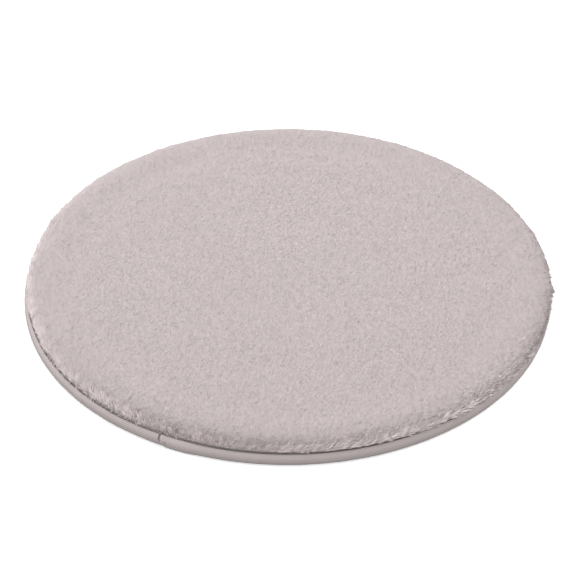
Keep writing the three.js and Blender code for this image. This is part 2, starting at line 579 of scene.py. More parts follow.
def grip_material(colours):
    """Soft clear-grey film with a satin skin and a faint orange-peel surface."""
    material, tree, shader = new_material(
        "grip_film", colours.grip, 0.45, coat_weight=0.1, coat_roughness=0.4
    )
    place = object_coordinates(tree)
    cloudy = speckle(tree, place, 40.0, 4.0)
    tree.links.new(tone(tree, colours.grip, cloudy, 0.93, 1.04), shader.inputs[0])
    skin = speckle(tree, place, 700.0)
    rubbed = put(
        tree,
        "ShaderNodeMapRange",
        {"Value": cloudy, "To Min": 0.38, "To Max": 0.55},
    ).outputs[0]
    tree.links.new(rubbed, shader.inputs["Roughness"])
    raise_surface(tree, shader, skin, 0.05 * MM)
    return material


def foam_material(colours):
    """Open cells of cushion foam."""
    material, tree, shader = new_material("cushion_foam", colours.foam, 0.95)
    place = object_coordinates(tree)
    cells = put(
        tree, "ShaderNodeTexVoronoi", {"Vector": place, "Scale": 900.0}
    ).outputs["Distance"]
    aged = tone(tree, colours.foam, speckle(tree, place, 30.0), 0.95, 1.03)
    tree.links.new(tone(tree, aged, cells, 0.85, 1.05), shader.inputs[0])
    raise_surface(tree, shader, cells, 0.4 * MM)
    return material


def thread_material(colours):
    """Spun polyester thread with its plies showing as fine slanted bands."""
    material, tree, shader = new_material("sewing_thread", colours.thread, 0.7)
    shader.inputs["Specular IOR Level"].default_value = 0.35
    place = object_coordinates(tree, turn=(0, 0, math.radians(35)))
    plies = put(
        tree,
        "ShaderNodeTexWave",
        {"Vector": place, "Scale": 700.0, "Distortion": 0.6},
    ).outputs["Fac"]
    tree.links.new(tone(tree, colours.thread, plies, 0.85, 1.08), shader.inputs[0])
    raise_surface(tree, shader, plies, 0.05 * MM)
    return material


def floor_material(colours):
    """A pale floor that is bright by itself, so that only a faint contact shadow shows."""
    material, tree, shader = new_material("floor", colours.floor, 0.9)
    shader.inputs["Emission Color"].default_value = (1, 1, 1, 1)
    shader.inputs["Emission Strength"].default_value = 0.5
    place = object_coordinates(tree)
    tree.links.new(
        tone(tree, colours.floor, speckle(tree, place, 1.5), 0.995, 1.005),
        shader.inputs[0],
    )
    return material


# ---------------------------------------------------------------- foam

# How much of the foam stays put while it settles, at its base and at its edge, and the most that
# the rest moves
FOAM_BASE_HELD = 3 * MM
FOAM_EDGE_HELD = 6 * MM
FOAM_MOST_MOVED = 1.6 * MM


def settle_foam(piece, pressure):
    """Swells the foam's skin with cloth pressure while its flat base and pinched edge are held."""
    base = FOAM_LOW.z + FOAM_BASE_HELD
    edge = FOAM_HIGH.x - FOAM_EDGE_HELD
    before = [vertex.co.copy() for vertex in piece.data.vertices]
    held = piece.vertex_groups.new(name="held")
    for index, point in enumerate(before):
        reach = math.hypot(point.x, point.y)
        if point.z < base or reach > edge:
            held.add([index], 1.0, "REPLACE")
    cloth = piece.modifiers.new("Settle", "CLOTH")
    settings = cloth.settings
    settings.quality = 5
    settings.mass = 0.3
    settings.tension_stiffness = 12
    settings.compression_stiffness = 12
    settings.bending_stiffness = 0.5
    settings.use_pressure = True
    settings.uniform_pressure_force = pressure
    settings.vertex_group_mass = "held"
    settings.effector_weights.gravity = 0
    cloth.collision_settings.use_collision = False
    cloth.collision_settings.use_self_collision = False
    last_frame = 20
    cloth.point_cache.frame_start = 1
    cloth.point_cache.frame_end = last_frame
    for step in range(1, last_frame + 1):
        bpy.context.scene.frame_set(step)
    make_plain(piece)
    bpy.context.scene.frame_set(1)
    for vertex, start in zip(piece.data.vertices, before):
        moved = vertex.co - start
        if moved.length > FOAM_MOST_MOVED:
            vertex.co = start + moved * (FOAM_MOST_MOVED / moved.length)
        vertex.co.z = min(vertex.co.z, FOAM_HIGH.z)
    piece.data.update()


class PLUSHPAD_OT_foam(bpy.types.Operator):
    """Make the foam disc, crowned in the middle and pinched at its edge"""

    bl_idname = "plushpad.foam"
    bl_label = "Foam"

    def execute(self, context):
        low, high, edge = FOAM_LOW.z, FOAM_HIGH.z, FOAM_HIGH.x
        # The start is a little thin, because the pressure swells it.
        outline = [
            (0, low),
            (edge * 0.5, low),
            (edge - 2.5 * MM, low + 0.1 * MM),
            (edge - 0.4 * MM, low + 1.5 * MM),
            (edge - 0.4 * MM, low + 4.2 * MM),
            (edge - 2.5 * MM, low + 6.0 * MM),
            (edge - 8 * MM, low + 6.6 * MM),
            (edge - 18 * MM, low + 7.6 * MM),
            (edge - 34 * MM, high - 2.0 * MM),
            (edge - 60 * MM, high - 1.5 * MM),
            (edge * 0.4, high - 1.3 * MM),
            (0, high - 1.3 * MM),
        ]
        foam = new_piece("foam_disc", *turned_mesh(outline, 96))
        remesh = foam.modifiers.new("Even Skin", "REMESH")
        remesh.mode = "VOXEL"
        remesh.voxel_size = 6 * MM
        remesh.use_smooth_shade = True
        make_plain(foam)
        for vertex in foam.data.vertices:
            reach = math.hypot(vertex.co.x, vertex.co.y)
            if reach > edge:
                vertex.co.x *= edge / reach
                vertex.co.y *= edge / reach
            vertex.co.z = max(vertex.co.z, low)
        settle_foam(foam, context.scene.plush_pad_base.foam_pressure)
        foam.modifiers.new("Round", "SUBSURF").levels = 1
        make_plain(foam)
        foam.data.materials.clear()
        foam.data.materials.append(foam_material(context.scene.plush_pad_colours))
        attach(foam, BODY)
        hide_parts("foam_core")
        return {"FINISHED"}


# ---------------------------------------------------------------- plush top

# The fur panel's section in millimetres, from the middle of its underside round the edge to the
# middle of its top: a thin backing whose edge goes under the tape, and the pile standing on it.
BACKING_LINE = [
    (0, 13.4),
    (75, 13.4),
    (150, 13.4),
    (164, 13.25),
    (178, 12.2),
    (188, 10.5),
    (192.5, 9.4),
]
EDGE_LINE = [(194.5, 9.2), (194.7, 9.5), (194.5, 9.85), (193.0, 10.0), (191.0, 11.2)]
PILE_LINE = [
    (191.4, 12.3),
    (194.6, 12.15),
    (196.4, 12.35),
    (197.2, 13.4),
    (197.2, 15.4),
    (196.0, 17.8),
    (193.2, 19.7),
    (187.5, 20.8),
    (177.0, 21.4),
    (160.0, 21.7),
    (130.0, 21.9),
    (90.0, 22.1),
    (45.0, 22.2),
    (0, 22.2),
]

# The pile starts at this height, and its painted shade fades out between the next two, where the pile
# opens to the light. The crown's lift ends, and the overhang and the seam's puckers start, between
# these distances from the middle.
PILE_FOOT = 12.0 * MM
PILE_SHADE_FADE = (12.4 * MM, 13.4 * MM)
MIDDLE_ENDS = (0.80 * PAD_RADIUS, 0.92 * PAD_RADIUS)
EDGE_STARTS = (0.93 * PAD_RADIUS, 0.985 * PAD_RADIUS)

# How far the pile hangs out over the tape, in millimetres, at angles in degrees from +X
OVERHANG = [
    (0, 1.4),
    (40, 1.3),
    (65, 2.9),
    (90, 3.3),
    (115, 3.1),
    (138, 2.2),
    (153, 0.6),
    (170, -1.2),
    (200, -1.1),
    (222, 0.1),
    (243, 0.5),
    (262, 1.7),
    (275, 2.0),
    (300, 2.1),
    (340, 1.6),
    (360, 1.4),
]
# One lock of pile strays out past the rest: its angle, how far it reaches in millimetres and how
# narrow it is.
STRAY_ANGLE = math.radians(-4.3)
STRAY_REACH = 1.8
STRAY_NARROWNESS = 55
# The pile's lower edge stands off the tape at the front: its angle, how far each way, how much it
# adds in millimetres to how the edge lies elsewhere, and the heights between which this fades.
GAPE_ANGLE = 1.5 * math.pi
GAPE_SPREAD = 0.55
GAPE_MOST = 0.75
GAPE_ELSEWHERE = -0.6
GAPE_HEIGHTS = (13.0 * MM, 17.0 * MM)


def angle_between(angle, middle):
    """How far an angle is from another, from -pi to pi."""
    return (angle - middle + math.pi) % (2 * math.pi) - math.pi


def overhang(angle):
    """How far the pile hangs out over the tape, with its one stray lock."""
    degrees = math.degrees(angle) % 360
    for (start, low), (end, high) in zip(OVERHANG, OVERHANG[1:]):
        if degrees <= end:
            out = low + (high - low) * ease(degrees, start, end)
            break
    off = angle_between(angle, STRAY_ANGLE)
    return (out + STRAY_REACH * math.exp(-((off * STRAY_NARROWNESS) ** 2))) * MM


def gape(angle):
    """How far the pile's lower edge stands off the tape: most at the front, hardly at the sides."""
    off = angle_between(angle, GAPE_ANGLE)
    return (GAPE_MOST * math.exp(-((off / GAPE_SPREAD) ** 2)) + GAPE_ELSEWHERE) * MM


def pile_surface(foam):
    """Places a point of the panel: the foam's crown, slow waves and the seam's puckers lift it."""
    tree = BVHTree.FromObject(foam, bpy.context.evaluated_depsgraph_get())
    down = Vector((0, 0, -1))
    level = FOAM_HIGH.z

    def place(radius, height, angle):
        flat = Vector((radius * math.cos(angle), radius * math.sin(angle), 0))
        if height < PILE_FOOT:
            return flat + Vector((0, 0, height))
        inner = 1 - ease(radius, *MIDDLE_ENDS)
        lift = 0.0
        if inner > 0:
            hit = tree.ray_cast(flat + Vector((0, 0, 2 * level)), down)[0]
            if hit:
                lift += inner * 0.5 * (hit.z - level + 0.4 * MM)
        lift += inner * 0.35 * MM * rough(flat, 18, 3.1)
        lift += 0.25 * MM * rough(flat, 45, 7.7)
        lift += (1 - ease(height, *GAPE_HEIGHTS)) * gape(angle)
        near = ease(radius, *EDGE_STARTS)
        around = Vector((math.cos(angle), math.sin(angle), 0))
        pucker = rough(around, 26, 1.5) + 0.7 * rough(around, 60, 9.2)
        out = near * 0.5 * MM * pucker
        out += near * overhang(angle)
        return flat + around * out + Vector((0, 0, height + lift))

    return place


def make_pile(foam, material):
    """The closed fur panel without its tufts: backing, tucked edge and dense pile."""
    outline = [(0, BACKING_LINE[0][1] * MM)]
    for line, spacing in ((BACKING_LINE, 12), (EDGE_LINE, 0.8), (PILE_LINE, 3.5)):
        for point in smooth_line([Vector((r, z)) for r, z in line], spacing):
            if point.x > 0.5:
                outline.append((point.x * MM, point.y * MM))
    outline.append((0, PILE_LINE[-1][1] * MM))
    steps = 480
    pile = new_piece("plush_pile", *turned_mesh(outline, steps, pile_surface(foam)))
    pile.data.materials.append(material)
    # 0 on the backing and under the pile's overhang, where painted shade darkens it, 1 where the pile
    # is open to the light
    heights = [height for _, height in outline[1:-1] for _ in range(steps)]
    unshaded = [0.0, *(ease(height, *PILE_SHADE_FADE) for height in heights), 1.0]
    open_pile = pile.data.attributes.new("open_pile", "FLOAT", "POINT")
    open_pile.data.foreach_set("value", unshaded)
    return pile


def tuft_shapes(settings):
    """A few bent, tapering tufts in a collection of their own, each of four triangles."""
    shapes = bpy.data.collections.new("tuft_shapes")
    bpy.context.scene.collection.children.link(shapes)
    length, width = settings.tuft_length, settings.tuft_width
    forms = (
        # how long, how wide, how high it arches, tip's height, how far it bends sideways
        (1.00, 1.00, 0.12, 0.13, 0.05),
        (0.85, 0.90, 0.14, 0.16, -0.10),
        (1.10, 0.80, 0.10, 0.09, 0.12),
        (0.75, 1.15, 0.13, 0.12, -0.04),
        (0.95, 0.70, 0.15, 0.17, 0.15),
        (1.15, 0.90, 0.09, 0.08, -0.14),
    )
    faces = [(0, 1, 2), (0, 3, 1), (0, 2, 3), (1, 3, 2)]
    for number, (long, wide, arch, tip, bend) in enumerate(forms):
        reach, half = length * long, width * wide / 2
        points = [
            (-half, 0, -0.35 * MM),
            (half, 0, -0.35 * MM),
            (bend * reach * 0.35, 0.45 * reach, arch * reach + 0.15 * MM),
            (bend * reach, reach, tip * reach),
        ]
        tuft = new_piece(f"tuft_{number}", points, faces)
        for collection in tuft.users_collection:
            collection.objects.unlink(tuft)
        shapes.objects.link(tuft)
        strand = tuft.data.attributes.new("strand", "FLOAT", "POINT")
        strand.data.foreach_set("value", [0.0, 0.0, 0.5, 1.0])
    return shapes


# Roots that are tried on each square metre; the gap between tufts decides how many of them stay.
ROOTS_TRIED = 4.0e6
# How the nap wanders, from broad swirls down to locks: the noise's scale, strength and place
NAP_WANDER = ((14.0, 0.5, 0.0), (90.0, 0.8, 4.0), (260.0, 1.2, 8.0))
# The direction that locks run in, along the nap on top and up a slant on the front, how fine they
# are and how much longer than wide
LOCK_RUN = Vector((0.6, 0.5, 0.6)).normalized()
LOCK_SCALE = 420.0
LOCK_STRETCH = 0.8
# Heights between which the pile's edge goes over into the pad's side: the lowest tufts fall
# outwards, stand off and are short
EDGE_FALL = (12.4 * MM, 13.8 * MM)
EDGE_STAND = (12.2 * MM, 15.0 * MM)
EDGE_SHORT = (12.0 * MM, 15.0 * MM)
# The fur is grown in this many patches round the pad, each of fewer than 200,000 triangles.
FUR_SECTORS = 12


def nap_direction(tree, given, place, height, wall):
    """The way that the tufts at a place lie, and how steeply they climb the pad's side."""
    brushed = put(
        tree,
        "ShaderNodeCombineXYZ",
        {
            0: sums(tree, "COSINE", given["Heading"]),
            1: sums(tree, "SINE", given["Heading"]),
        },
    ).outputs[0]
    flat = vector_sums(tree, "MULTIPLY", place, (1.0, 1.0, 0.0))
    outward = put(tree, "ShaderNodeVectorMath", {0: flat}, operation="NORMALIZE").outputs[0]
    facing = dot_product(tree, outward, brushed)
    # Tufts point up the pad's side where it faces against the nap. On the far side they point down
    # it and lean towards +X.
    steepness, lean, kept_nap = -1.1, 0.6, 0.8
    rise = sums(tree, "MULTIPLY", sums(tree, "MULTIPLY", wall, facing), steepness)
    aside = sums(tree, "MULTIPLY", wall, sums(tree, "MULTIPLY_ADD", facing, lean, lean))
    climb = put(tree, "ShaderNodeCombineXYZ", {0: aside, 2: rise}).outputs[0]
    nap = vector_sums(tree, "ADD", scaled(tree, brushed, kept_nap), climb)
    # The lowest tufts, over the tape, are turned round where they would point inwards.
    edge = ramp(tree, height, *EDGE_FALL, 1.0, 0.0)
    away = sums(tree, "SUBTRACT", ramp(tree, facing, -0.5, 0.3, -1.0, 1.0), 1.0)
    nap = scaled(tree, nap, sums(tree, "MULTIPLY_ADD", edge, away, 1.0))
    for scale, amount, noise_place in NAP_WANDER:
        drift = put(
            tree,
            "ShaderNodeTexNoise",
            {"Vector": place, "W": noise_place, "Scale": scale, "Detail": 1.0},
            noise_dimensions="4D",
        ).outputs["Color"]
        centred = vector_sums(tree, "SUBTRACT", drift, (0.5, 0.5, 0.5))
        strength = sums(tree, "MULTIPLY", given["Swirl"], amount)
        nap = vector_sums(tree, "ADD", nap, scaled(tree, centred, strength))
    return nap, rise


def lock_streaks(tree, place):
    """Noise about zero in long streaks, which tell the locks apart."""
    along = dot_product(tree, place, LOCK_RUN)
    run = put(tree, "ShaderNodeCombineXYZ", dict(enumerate(LOCK_RUN))).outputs[0]
    squeeze = scaled(tree, run, sums(tree, "MULTIPLY", along, LOCK_STRETCH))
    streaks = put(
        tree,
        "ShaderNodeTexNoise",
        {
            "Vector": vector_sums(tree, "SUBTRACT", place, squeeze),
            "Scale": LOCK_SCALE,
            "Detail": 1.0,
        },
    ).outputs[0]
    return sums(tree, "SUBTRACT", streaks, 0.5)


def fur_tree():
    """Scatters tufts over a patch of pile, brushed one way, with slow swirls and small locks."""
    tree, given = geometry_tree(
        "Grow Fur",
        {
            "Tufts": "Collection",
            "Gap": "Float",
            "Heading": "Float",
            "Swirl": "Float",
            "Seed": "Int",
            "Material": "Material",
        },
    )

    def chance(low, high, add):
        """A number for each tuft at random; another addition gives another number."""
        seed = sums(tree, "ADD", given["Seed"], add)
        node = put(tree, "FunctionNodeRandomValue", {"Seed": seed}, data_type="FLOAT")
        node.inputs[2].default_value = low
        node.inputs[3].default_value = high
        return node.outputs[1]

    roots = put(
        tree,
        "GeometryNodeDistributePointsOnFaces",
        {
            "Mesh": given["Geometry"],
            "Distance Min": given["Gap"],
            "Density Max": ROOTS_TRIED,
            "Seed": given["Seed"],
        },
        distribute_method="POISSON",
    )
    normal = roots.outputs["Normal"]
    place = put(tree, "GeometryNodeInputPosition").outputs[0]
    height = put(tree, "ShaderNodeSeparateXYZ", {0: place}).outputs[2]
    # 1 where the pile is level and 0 where it is upright; the wall is the pad's side.
    level = put(tree, "ShaderNodeSeparateXYZ", {0: normal}).outputs[2]
    wall = ramp(tree, level, 0.2, 0.95, 1.0, 0.0)
    nap, rise = nap_direction(tree, given, place, height, wall)
    lie = put(
        tree,
        "FunctionNodeAxesToRotation",
        {"Primary Axis": normal, "Secondary Axis": nap},
        primary_axis="Z",
        secondary_axis="Y",
    ).outputs[0]

    # Locks differ in tone and in how far they stand off, most of all on the pad's side. The shade also
    # carries painted light: the side is painted lighter where the tufts climb it and darker where they
    # point down it, and the locks' light and dark streaks there are painted, far stronger than the
    # small random tone on top.
    lock = lock_streaks(tree, place)
    contrast = sums(tree, "MULTIPLY_ADD", wall, 2.75, 0.15)
    painted_side_light_and_tone = sums(tree, "MULTIPLY_ADD", rise, 0.36, chance(0.46, 0.52, 4))
    shade = sums(tree, "MULTIPLY_ADD", lock, contrast, painted_side_light_and_tone)
    strength = sums(tree, "MULTIPLY_ADD", wall, 1.8, 0.5)
    lift = sums(tree, "MULTIPLY", chance(-0.08, 0.1, 2), strength)
    lift = sums(tree, "MULTIPLY_ADD", sums(tree, "MULTIPLY", lock, strength), 0.5, lift)
    lift = sums(tree, "ADD", lift, ramp(tree, height, *EDGE_STAND, 0.45, 0.0))
    roll, swing = chance(-0.2, 0.2, 3), chance(-0.25, 0.25, 1)
    tilt = put(tree, "ShaderNodeCombineXYZ", {0: lift, 1: roll, 2: swing}).outputs[0]
    tilt = put(tree, "FunctionNodeEulerToRotation", {0: tilt}).outputs[0]
    turned = put(
        tree,
        "FunctionNodeRotateRotation",
        {"Rotation": lie, "Rotate By": tilt},
        rotation_space="LOCAL",
    ).outputs[0]
    short = ramp(tree, height, *EDGE_SHORT, 0.4, 1.0)
    long = ramp(tree, level, 0.3, 0.98, 1.35, 1.0)
    size = sums(tree, "MULTIPLY", chance(0.8, 1.1, 5), short)
    size = sums(tree, "MULTIPLY", size, long)

    shapes = put(
        tree,
        "GeometryNodeCollectionInfo",
        {
            "Collection": given["Tufts"],
            "Separate Children": True,
            "Reset Children": True,
        },
    )
    points = roots.outputs["Points"]
    for name, kind, value in (
        ("shade", "FLOAT", shade),
        ("pile_normal", "FLOAT_VECTOR", normal),
    ):
        noted = put(
            tree,
            "GeometryNodeStoreNamedAttribute",
            {"Geometry": points, "Name": name},
            data_type=kind,
            domain="POINT",
        )
        tree.links.new(value, noted.inputs["Value"])
        points = noted.outputs[0]
    tufts = put(
        tree,
        "GeometryNodeInstanceOnPoints",
        {
            "Points": points,
            "Instance": shapes.outputs[0],
            "Pick Instance": True,
            "Rotation": turned,
            "Scale": size,
        },
    )
    end_tree(tree, tufts.outputs[0], given["Material"])
    return tree


def soften_shading(piece, softness):
    """Turns each tuft's normals part of the way to the pile's own, as light passes between fibres."""
    mesh = piece.data
    count = len(mesh.vertices)
    own = np.empty(count * 3, dtype=np.float32)
    mesh.vertices.foreach_get("normal", own)
    whole = np.empty(count * 3, dtype=np.float32)
    mesh.attributes["pile_normal"].data.foreach_get("vector", whole)
    own, whole = own.reshape(-1, 3), whole.reshape(-1, 3)
    # On the pad's side the light from above still reaches in, and single tufts show more.
    upward_lean, side_loss = 1.7, 0.5
    whole[:, 2] += upward_lean
    whole /= np.linalg.norm(whole, axis=1, keepdims=True)
    share = softness - side_loss * (1 - whole[:, 2:])
    mixed = own * (1 - share) + whole * share
    mixed /= np.maximum(np.linalg.norm(mixed, axis=1, keepdims=True), 1e-6)
    mesh.normals_split_custom_set_from_vertices(mixed.tolist())
    mesh.attributes.remove(mesh.attributes["pile_normal"])


class PLUSHPAD_OT_plush_top(bpy.types.Operator):
    """Make the fur panel: its backing and dense pile, and the tufts that show"""

    bl_idname = "plushpad.plush_top"
    bl_label = "Plush Top"

    def execute(self, context):
        scene = context.scene
        settings, colours = scene.plush_pad_pile, scene.plush_pad_colours
        foam = bpy.data.objects["foam_disc"]
        pile = make_pile(foam, pile_material(colours))
        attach(pile, BODY)
        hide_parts("plush_top")

        material = fur_material(colours)
        shapes = tuft_shapes(settings)
        tree = fur_tree()
        mesh = pile.data
        patches = [[] for _ in range(FUR_SECTORS)]
        unshaded = mesh.attributes["open_pile"].data
        for face in mesh.polygons:
            middle = face.center
            if min(unshaded[index].value for index in face.vertices) < 0.5:
                continue
            angle = math.atan2(middle.y, middle.x) % (2 * math.pi)
            patches[int(angle / (2 * math.pi) * FUR_SECTORS) % FUR_SECTORS].append(face)
        for number, patch in enumerate(patches):
            used = sorted({index for face in patch for index in face.vertices})
            renumber = {old: new for new, old in enumerate(used)}
            tufts = new_piece(
                f"fur_{number + 1}",
                [mesh.vertices[index].co for index in used],
                [[renumber[index] for index in face.vertices] for face in patch],
            )
            grow(
                tufts,
                tree,
                {
                    "Tufts": shapes,
                    "Gap": settings.tuft_gap,
                    "Heading": settings.nap_heading,
                    "Swirl": settings.swirl,
                    "Seed": settings.seed + 10 * number,
                    "Material": material,
                },
            )
            soften_shading(tufts, settings.softness)
            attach(tufts, BODY)
        for tuft in list(shapes.objects):
            remove_piece(tuft)
        bpy.data.collections.remove(shapes)
        return {"FINISHED"}


# ---------------------------------------------------------------- binding

# The tape's outer face in millimetres, from its free edge under the pile, over the lip and the
# stitched groove, round the roll and back to its free edge underneath
TAPE_LINE = [
    (193.3, 10.75),
    (194.2, 10.95),
    (195.0, 10.8),
    (195.7, 9.9),
    (196.2, 9.1),
    (196.8, 9.8),
    (197.5, 10.6),
    (198.4, 10.35),
    (199.3, 9.1),
    (199.85, 7.6),
    (200.0, 5.9),
    (199.85, 4.1),
    (199.35, 2.6),
    (198.4, 1.5),
    (196.8, 0.98),
    (194.6, 0.92),
    (192.6, 0.95),
]
TAPE_MIDDLE = Vector((194.5 * MM, 6.2 * MM))
# Steps along the tape: fine ones at its cut end, coarse ones round the pad, fine ones at its other end
CUT_STEPS, ROUND_STEPS, LAST_STEPS = 50, 705, 180


def tape_section(thickness):
    """The section as (outer, inner) rows of points, with the distance along the tape's width."""
    outer = smooth_line([Vector(point) * MM for point in TAPE_LINE], 0.7 * MM)
    along, inner = [0.0], []
    for index, point in enumerate(outer):
        before = outer[max(0, index - 1)]
        after = outer[min(len(outer) - 1, index + 1)]
        run = (after - before).normalized()
        inner.append(point - Vector((-run.y, run.x)) * thickness)
        if index:
            along.append(along[-1] + (point - outer[index - 1]).length)
    return outer, inner, along


def join_cut(across):
    """How far the lapped end's edge leans out along the tape, across its width from 0 to 1."""
    furthest, lean, most_back = 0.45, 1.2, 5.0
    bend = 8 if across < furthest else 80
    return (lean - min(most_back, bend * (across - furthest) ** 2)) * MM


def tape_travels():
    """Angles travelled along the tape from its cut end to its last, which goes under the lap."""
    fine, coarse = math.radians(0.06), math.radians(0.5)
    travels = [fine * index for index in range(CUT_STEPS)]
    travels += [travels[-1] + coarse * index for index in range(1, ROUND_STEPS + 1)]
    left = 2 * math.pi + LAP_ANGLE - travels[-1]
    travels += [travels[-1] + left * index / LAST_STEPS for index in range(1, LAST_STEPS + 1)]
    return travels


def binding_mesh(thickness):
    """The tape once round the pad. Its first end is cut in a soft curve and laps over its last,
    which sinks in a narrow crease just before it goes under."""
    outer, inner, along = tape_section(thickness)
    rows = len(outer)
    width = along[-1]
    travels = tape_travels()
    lap_lift = thickness + 0.1 * MM
    edge_drop, edge_run = 0.6 * MM, 1.1 * MM
    crease_depth, crease_run = 2.2 * MM, (0.2 * MM, 1.7 * MM)
    cut_run = math.radians(4)
    wave_height = 0.12 * MM
    points, faces, maps = [], [], []
    for travel in travels:
        for side, line in enumerate((outer, inner)):
            for row, point in enumerate(line):
                across = along[row] / width
                cut = join_cut(across)
                fade = 1 - ease(travel, 0, cut_run)
                angle = JOIN_ANGLE + travel - fade * cut / PAD_RADIUS
                lift = lap_lift * (1 - ease(travel, LAP_ANGLE, 2 * LAP_ANGLE))
                lift -= edge_drop * (1 - ease(travel * PAD_RADIUS, 0, edge_run))
                before_edge = (2 * math.pi - travel) * PAD_RADIUS - cut
                lift -= crease_depth * (1 - ease(before_edge, *crease_run))
                wave = wave_height * rough((math.cos(angle), math.sin(angle)), 14, 5.0)
                spot = point + (point - TAPE_MIDDLE).normalized() * (lift + wave)
                points.append(
                    (spot.x * math.cos(angle), spot.x * math.sin(angle), spot.y)
                )
                maps.append((PAD_RADIUS * travel, along[row] + side * 2 * width))
    ring = 2 * rows
    loop = [*range(rows), *range(2 * rows - 1, rows - 1, -1)]
    for column in range(len(travels) - 1):
        here, there = column * ring, (column + 1) * ring
        for index, first in enumerate(loop):
            second = loop[(index + 1) % ring]
            faces.append((here + first, here + second, there + second, there + first))
    last = (len(travels) - 1) * ring
    for row in range(rows - 1):
        faces.append((row, rows + row, rows + row + 1, row + 1))
        faces.append(
            (last + row, last + row + 1, last + rows + row + 1, last + rows + row)
        )
    return points, faces, maps, width


class PLUSHPAD_OT_binding(bpy.types.Operator):
    """Make the woven tape that is rolled round the pad's edge"""

    bl_idname = "plushpad.binding"
    bl_label = "Edge Binding"

    def execute(self, context):
        settings = context.scene.plush_pad_binding
        points, faces, maps, width = binding_mesh(settings.thickness)
        tape = new_piece("binding_tape", points, faces)
        layer = tape.data.uv_layers.new(name="tape")
        for loop in tape.data.loops:
            layer.data[loop.index].uv = maps[loop.vertex_index]
        tape.data.materials.append(
            tape_material(context.scene.plush_pad_colours, settings.rib_pitch)
        )
        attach(tape, BODY)
        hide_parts("edge_binding")
        return {"FINISHED"}


# ---------------------------------------------------------------- stitching

# Each seam's radius and height: the needle thread lies in the tape's groove, the bobbin thread
# against its underside.
NEEDLE_SEAM = (196.25 * MM, 9.3 * MM)
BOBBIN_SEAM = (195.3 * MM, 0.9 * MM)
# The tack zigzags down the tape's roll, on an oval about the middle of the tape's section. Its ends
# stay inside the space that the tack has.
TACK_TURNS = 6
TACK_OVAL = (6.55 * MM, 5.3 * MM)
TACK_END_GAP = 0.6 * MM
TACK_FROM_JOIN = math.radians(0.9)
TACK_SWING = math.radians(0.22)


def tube(points, radius, sides=6):
    """A round thread along the points, closed with a small cone at each end."""
    vertices, faces = [], []
    count = len(points)
    for index, point in enumerate(points):
        run = (points[min(count - 1, index + 1)] - points[max(0, index - 1)]).normalized()
        side = run.cross(Vector((0, 0, 1)))
        side = side.normalized() if side.length > 1e-6 else Vector((1, 0, 0))
        up = side.cross(run)
        for step in range(sides):
            angle = 2 * math.pi * step / sides
            vertices.append(
                point + radius * (math.cos(angle) * side + math.sin(angle) * up)
            )
    for index in range(count - 1):
        for step in range(sides):
            after = (step + 1) % sides
            low, high = index * sides, (index + 1) * sides
            faces.append((low + step, high + step, high + after, low + after))
    first, last = len(vertices), len(vertices) + 1
    start_run = (points[1] - points[0]).normalized()
    end_run = (points[-1] - points[-2]).normalized()
    vertices.append(points[0] - start_run * radius)
    vertices.append(points[-1] + end_run * radius)
    end = (count - 1) * sides
    for step in range(sides):
        after = (step + 1) % sides
        faces.append((first, step, after))
        faces.append((last, end + after, end + step))
    return vertices, faces


def stitch_shape(pitch, radius):
    """One stitch that rises from its hole, lies along the tape and dives into the next hole."""
    half = 0.5 * pitch
    path = [
        Vector((-0.97 * half, 0, -1.6 * radius)),
        Vector((-0.85 * half, 0, -0.2 * radius)),
        Vector((-0.5 * half, 0, 0.5 * radius)),
        Vector((0.5 * half, 0, 0.5 * radius)),
        Vector((0.85 * half, 0, -0.2 * radius)),
        Vector((0.97 * half, 0, -1.6 * radius)),
    ]
    return new_piece("stitch_shape", *tube(path, radius))


def stitch_tree():
    """Lays stitches end to end along a line."""
    tree, given = geometry_tree(
        "Sew Line",
        {"Stitch": "Object", "Pitch": "Float", "Flip": "Float", "Material": "Material"},
    )
    line = put(
        tree, "GeometryNodeMeshToCurve", {"Mesh": given["Geometry"]}
    ).outputs[0]
    spaced = put(
        tree,
        "GeometryNodeResampleCurve",
        {"Curve": line, "Length": given["Pitch"]},
        mode="LENGTH",
    ).outputs[0]
    tangent = put(tree, "GeometryNodeInputTangent").outputs[0]
    up = put(tree, "ShaderNodeCombineXYZ", {2: given["Flip"]}).outputs[0]
    facing = put(
        tree,
        "FunctionNodeAxesToRotation",
        {"Primary Axis": tangent, "Secondary Axis": up},
        primary_axis="X",
        secondary_axis="Z",
    ).outputs[0]
    stitch = put(
        tree, "GeometryNodeObjectInfo", {"Object": given["Stitch"]}
    ).outputs["Geometry"]
    sewn = put(
        tree,
        "GeometryNodeInstanceOnPoints",
        {"Points": spaced, "Instance": stitch, "Rotation": facing},
    ).outputs[0]
    end_tree(tree, sewn, given["Material"])
    return tree


def seam_line(name, radius, height):
    """The line of a seam, from just past the lapped join round to just before it."""
    first, last = JOIN_ANGLE + 2 * LAP_ANGLE, JOIN_ANGLE + 2 * math.pi - LAP_ANGLE
    count = 400
    points = []
    for index in range(count + 1):
        angle = first + (last - first) * index / count
        points.append((radius * math.cos(angle), radius * math.sin(angle), height))
    mesh = bpy.data.meshes.new(name)
    mesh.from_pydata(points, [(i, i + 1) for i in range(count)], [])
    piece = bpy.data.objects.new(name, mesh)
    bpy.context.scene.collection.objects.link(piece)
    return piece


